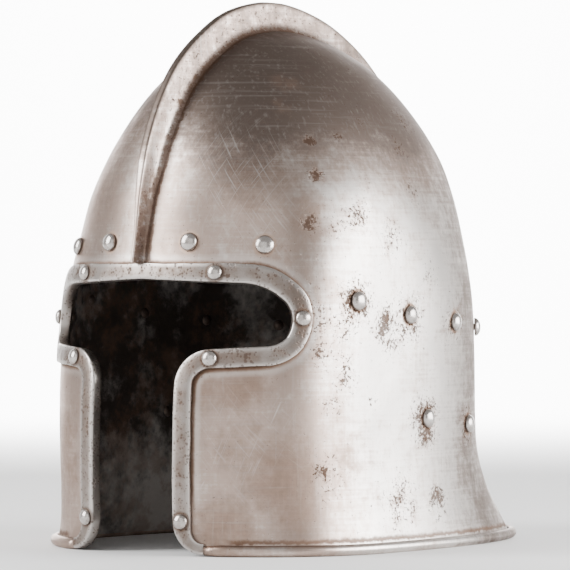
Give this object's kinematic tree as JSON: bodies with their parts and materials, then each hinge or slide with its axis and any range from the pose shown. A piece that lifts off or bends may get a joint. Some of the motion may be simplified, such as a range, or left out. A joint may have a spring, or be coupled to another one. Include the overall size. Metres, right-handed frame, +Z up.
{
  "type": "barbute helmet",
  "caption": "One-piece steel barbute: close skull with a comb over the crown, a T-shaped face opening edged with a folded strip, domed rivets and a rolled, flared rim.",
  "frame": {"origin": "under the middle of the helmet's bounding box, in the plane that the rim stands on", "axes": "+Z up, -Y the way the wearer looks, +X the wearer's left"},
  "size_m": [0.217, 0.289, 0.3038],
  "materials": {
    "plate_steel": "worn polish with warm grey patina and rust pits",
    "strip_steel": "darker, worn satin",
    "rivet_steel": "polished by rubbing, rust at the edges"
  },
  "bodies": {
    "root": {"skull": "plate_steel", "face_band": "strip_steel", "band_rivet_brow_left": "rivet_steel", "band_rivet_brow_right": "rivet_steel", "band_rivet_temple_left": "rivet_steel", "band_rivet_temple_right": "rivet_steel", "band_rivet_cheek_left": "rivet_steel", "band_rivet_cheek_right": "rivet_steel", "band_rivet_chin_left": "rivet_steel", "band_rivet_chin_right": "rivet_steel", "lining_rivet_brow_inner_left": "rivet_steel", "lining_rivet_brow_inner_right": "rivet_steel", "lining_rivet_brow_outer_left": "rivet_steel", "lining_rivet_brow_outer_right": "rivet_steel", "lining_rivet_temple_left": "rivet_steel", "lining_rivet_temple_right": "rivet_steel", "lining_rivet_ear_left": "rivet_steel", "lining_rivet_ear_right": "rivet_steel", "lining_rivet_rear_side_left": "rivet_steel", "lining_rivet_rear_side_right": "rivet_steel", "lining_rivet_rear_left": "rivet_steel", "lining_rivet_rear_right": "rivet_steel", "lining_rivet_nape_left": "rivet_steel", "lining_rivet_nape_right": "rivet_steel", "lining_rivet_lower_side_left": "rivet_steel", "lining_rivet_lower_side_right": "rivet_steel", "lining_rivet_lower_rear_left": "rivet_steel", "lining_rivet_lower_rear_right": "rivet_steel", "lining_rivet_lower_nape_left": "rivet_steel", "lining_rivet_lower_nape_right": "rivet_steel"}
  },
  "joints": []
}
